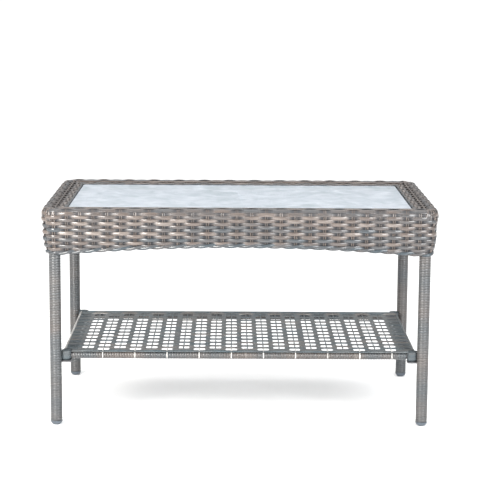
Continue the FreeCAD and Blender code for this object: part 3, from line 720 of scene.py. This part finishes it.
def windBlock(corner):
    low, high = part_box(f"shelf_block_{corner}")
    middle = (low + high) / 2
    half = ((high.x - low.x) / 2 - block["thick"] / 2, (high.y - low.y) / 2 - block["thick"] / 2)
    bundle = Bundle()
    angle = np.linspace(0, block["turns"] * 2 * math.pi, block["turns"] * 40)
    travel = np.linspace(low.z + block["edge"], high.z - block["edge"], len(angle))
    path = np.column_stack((squareLoop(angle, half) + [middle.x, middle.y], travel))
    along = unit(np.gradient(path, axis=0))
    outward = unit(np.cross(along, upWay))
    wide = np.cross(outward, along)
    # the tone is the block's dark colour; the 0.45 shade on top is painted shade for the shadow under the
    # shelf corner
    bundle.add(path, wide * block["wide"] / 2, outward * block["thick"] / 2, halfRound,
               0.05 + wander(travel, 0.004, 0.15, 9), 0.45)
    # coils that close the top and the underside
    for z, out in ((high.z - block["capIn"], 1), (low.z + block["capIn"], -1)):
        spin = np.linspace(0, block["capTurns"] * 2 * math.pi, 90)
        shrink = np.linspace(0.92, 0.12, len(spin))[:, None]
        loop = squareLoop(spin, half) * shrink + [middle.x, middle.y]
        path = np.column_stack((loop, np.full(len(spin), z)))
        along = unit(np.gradient(path, axis=0))
        across = unit(np.cross(along, upWay))
        # the same painted shade on the coils
        bundle.add(path, across * block["capHalf"], upWay * out * block["capThick"], halfRound, 0.05, 0.45)
    return bundle


for corner in corners:
    piece = windBlock(corner).build(f"block_wrap_{corner}", shelfStrand, replaces=[f"shelf_block_{corner}"])
print("windings")

# Shelf weave.
shelf = {
    "stakePitch": 0.0355, "rowPitch": 0.0342, "firstRow": 0.192, "stagger": 8.5,
    "strand": 0.0082, "bunch": 0.0039, "widen": 0.55, "thick": 0.0014, "lift": 0.0003,
    "backRows": 4, "backLift": 0.0014, "sideStart": 0.360, "tape": 0.0098, "overBrace": 0.0136,
    "side": 0.0015,
}
weaveLow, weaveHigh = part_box("shelf_weave")
midZ = weaveLow.z + 0.0016


def columnWave(x):
    # 1 at the stakes whose openings start forward, -1 at the ones between, square with soft corners
    t = np.cos(math.pi * (x / shelf["stakePitch"] + shelf["stagger"]))
    return np.tanh(3.6 * t) / math.tanh(3.6)


def overStake(x, phase):
    return np.cos(math.pi * (x / shelf["stakePitch"] + shelf["stagger"]) + phase * math.pi)


def addFlat(bundle, point, width, tone, shade=0.0):
    along = unit(np.gradient(point, axis=0))
    wide = unit(np.cross(upWay, along))
    width = np.broadcast_to(np.asarray(width, float), (len(point),))
    bundle.add(point, wide * width[:, None] / 2, np.cross(along, wide) * shelf["thick"] / 2,
               flatTape, tone, shade)


def weaveShelf():
    bundle = Bundle()
    edge = weaveHigh.x
    x = np.linspace(-edge, edge, 760)
    inside = np.clip((shelf["sideStart"] - np.abs(x)) / 0.012, 0, 1)
    step = shelf["rowPitch"] / 2
    for m in range(-1, 21):
        mean = -shelf["firstRow"] + step / 2 + step * m
        if mean > weaveHigh.y - 0.036:
            break
        swing = (step / 2 - shelf["bunch"]) * (-1 if m % 2 else 1)
        column = columnWave(x)
        y = mean + swing * column * inside
        lift = overStake(x, m % 2) * shelf["lift"]
        between = 1 - column ** 2
        width = shelf["strand"] * (1 + shelf["widen"] * between * inside + 0.25 * (1 - inside))
        tone = 0.32 + wander(x, 0.1, 0.3, 600 + m)
        # painted shade where the strand dips under a stake; it also makes it duller
        underShade = 0.25 * np.clip(-lift / shelf["lift"], 0, 1)
        addFlat(bundle, np.stack((x, y, midZ + lift), -1), width, tone, underShade)
        # extra strand that closes the side bands
        for sign in (-1, 1):
            fx = np.linspace(shelf["sideStart"] - 0.002, edge, 18) * sign
            fy = np.full_like(fx, mean + step / 2)
            fz = midZ + overStake(fx, (m + 1) % 2) * shelf["backLift"]
            addFlat(bundle, np.stack((fx, fy, fz), -1), 0.0085, 0.12, 0.3)
    # close band at the back: strands three abreast
    first = weaveHigh.y - 0.0375
    count = shelf["backRows"] * 3
    pitchBack = (weaveHigh.y - 0.004 - first) / count
    for i in range(count):
        y = np.full_like(x, first + pitchBack * (i + 0.5))
        over = overStake(x, (i // 3) % 2)
        tone = 0.2 + 0.45 * ((i // 3) % 2) + wander(x, 0.1, 0.25, 700 + i)
        # painted shade where the strands pass under a stake
        addFlat(bundle, np.stack((x, y, midZ + over * shelf["backLift"]), -1), pitchBack * 1.02, tone,
                np.clip(-over, 0, 1) * 0.6)
    # slim stakes through the openings, and flat tapes that close the stripes between the columns
    y = np.linspace(weaveLow.y + 0.001, weaveHigh.y - 0.001, 60)
    for number in range(-11, 12):
        tape = shelf["overBrace"] if abs(number) == 4 else shelf["tape"]
        stake = (number + 0.5, 0.0014, 0.0005, 0.1)
        stripe = (number, tape / 2, 0.0004, 0.25)
        for place, half, deep, tone in (stake, stripe):
            at = place * shelf["stakePitch"]
            if abs(at) > shelf["sideStart"] + 0.012:
                continue
            point = np.stack((np.full_like(y, at), y, np.full_like(y, midZ)), -1)
            bundle.add(point, np.array([half, 0, 0]), np.array([0, 0, deep]), flatTape,
                       tone + wander(y, 0.05, 0.15, 800 + number))
    return bundle


# Strands along the shelf's edges, in half sizes, and the ties at the front.
edging = {"front": 0.0062, "back": 0.0048, "backThick": 0.0024, "end": 0.0022,
          "tie": 0.0014, "tieThick": 0.0010, "tieProud": 0.0007}


def addShelfEdges(bundle):
    # smooth dark strand along the front, bulging up between the ties
    tiePitch = 2 * shelf["stakePitch"]
    x = np.linspace(weaveLow.x + 0.012, weaveHigh.x - 0.012, 420)
    bulge = np.abs(np.sin(math.pi * (x + 0.5 * shelf["stakePitch"]) / tiePitch)) ** 0.8
    deep = 0.0014 + 0.0008 * bulge
    point = np.stack((x, np.full_like(x, weaveLow.y - 0.0025), weaveLow.z - 0.0002 + deep), -1)
    tone = 0.12 + wander(x, 0.12, 0.12, 61)
    # painted shade in the dips at the ties
    shade = 0.35 * (1 - bulge)
    bundle.add(point, np.array([0, edging["front"], 0]), upWay * deep[:, None], roundTen, tone, shade)
    # the same along the back, straight
    point = np.stack((x, np.full_like(x, weaveHigh.y - 0.0045), np.full_like(x, midZ + 0.0008)), -1)
    bundle.add(point, np.array([0, edging["back"], 0]), np.array([0, 0, edging["backThick"]]), roundTen, 0.05)
    # strand along both ends; the left one's light tone is a painted highlight
    y = np.linspace(weaveLow.y + 0.008, weaveHigh.y - 0.008, 120)
    for sign in (-1, 1):
        px = np.full_like(y, sign * (weaveHigh.x + shelf["side"]))
        point = np.stack((px, y, midZ + 0.0006 + 0.0004 * np.sin(y * 2 * math.pi / shelf["rowPitch"])), -1)
        tone = 1.0 if sign < 0 else 0.3
        bundle.add(point, np.array([edging["end"], 0, 0]), np.array([0, 0, edging["end"]]), roundTen, tone)
    # ties: small loops over the border and round the rail
    railLow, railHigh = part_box("shelf_winding_front")
    railY, railMid = (railLow.y + railHigh.y) / 2, (railLow.z + railHigh.z) / 2
    radius = (railHigh.z - railLow.z) / 2 + edging["tieProud"]
    lead = np.array([(0.026, 0.0004), (0.012, 0.0012), (0.003, 0.0012), (-0.004, 0.0004)])
    turn = np.radians(np.linspace(45, 120, 10))
    loopY = np.concatenate((weaveLow.y + lead[:, 0], railY - radius * np.sin(turn)))
    loopZ = np.concatenate((midZ + lead[:, 1], railMid + radius * np.cos(turn)))
    for number in range(-4, 6):
        tieX = (2 * number - 0.5) * shelf["stakePitch"]
        path = np.stack((np.full_like(loopY, tieX), loopY, loopZ), -1)
        along = unit(np.gradient(path, axis=0))
        across = np.array([1.0, 0, 0])
        upright = np.cross(along, across)
        bundle.add(path, across * edging["tie"], upright * edging["tieThick"], roundSix, 1.0)


bundle = weaveShelf()
addShelfEdges(bundle)
piece = bundle.build("shelf_strands", shelfStrand, replaces=["shelf_weave"])
print("shelf weave")


# Floor and lights.
def addPlane(name, sizeX, sizeY, place):
    mesh = bpy.data.meshes.new(name)
    x, y = sizeX / 2, sizeY / 2
    mesh.from_pydata([(-x, -y, 0), (x, -y, 0), (x, y, 0), (-x, y, 0)], [], [(0, 1, 2, 3)])
    plane = bpy.data.objects.new(name, mesh)
    plane.location = place
    bpy.context.scene.collection.objects.link(plane)
    return plane


floor = addPlane("floor", 160, 160, (0, 60, -0.0005))
floorPaint, floorTree, floorShader = newMaterial("floorPaint")
floorShader.inputs["Base Color"].default_value = (0.9, 0.9, 0.9, 1)
floorShader.inputs["Roughness"].default_value = 0.9
floor.data.materials.append(floorPaint)
studio = {"left": 100, "right": 60, "sideReach": 1.35, "sideFront": -1.9, "sideHigh": 0.95,
          "top": 24, "low": 0.2, "high": 1.7}


def addLight(name, place, aim, sizeX, sizeY, power, colour):
    data = bpy.data.lights.new(name, "AREA")
    data.shape = "RECTANGLE"
    data.size = sizeX
    data.size_y = sizeY
    data.energy = power
    data.color = colour
    light = bpy.data.objects.new(name, data)
    light.location = place
    light.rotation_euler = (Vector(aim) - Vector(place)).to_track_quat("-Z", "Y").to_euler()
    bpy.context.scene.collection.objects.link(light)


def makeWorld():
    world = bpy.data.worlds.new("studio")
    bpy.context.scene.world = world
    world.use_nodes = True
    nodes, links = world.node_tree.nodes, world.node_tree.links
    where = nodes.new("ShaderNodeTexCoord")
    split = nodes.new("ShaderNodeSeparateXYZ")
    links.new(where.outputs["Generated"], split.inputs[0])
    rise = nodes.new("ShaderNodeMapRange")
    rise.inputs["From Min"].default_value = 0.0
    rise.inputs["From Max"].default_value = 1.0
    rise.inputs["To Min"].default_value = studio["low"]
    rise.inputs["To Max"].default_value = studio["high"]
    links.new(split.outputs["Z"], rise.inputs["Value"])
    links.new(rise.outputs["Result"], nodes["Background"].inputs["Strength"])
    nodes["Background"].inputs["Color"].default_value = (1, 1, 1, 1)


addLight("leftSoftbox", (-studio["sideReach"], studio["sideFront"], studio["sideHigh"]), (-0.1, -0.2, 0.35),
         1.0, 1.1, studio["left"], (1, 0.98, 0.95))
addLight("rightSoftbox", (studio["sideReach"], studio["sideFront"], studio["sideHigh"]), (0.1, -0.2, 0.35),
         1.0, 1.1, studio["right"], (0.96, 0.98, 1))
addLight("topSoftbox", (0, 0.2, 2.6), (0, 0, 0.3), 2.6, 1.6, studio["top"], (1, 1, 1))
makeWorld()
bpy.context.scene.view_settings.view_transform = "Standard"
print("stage")
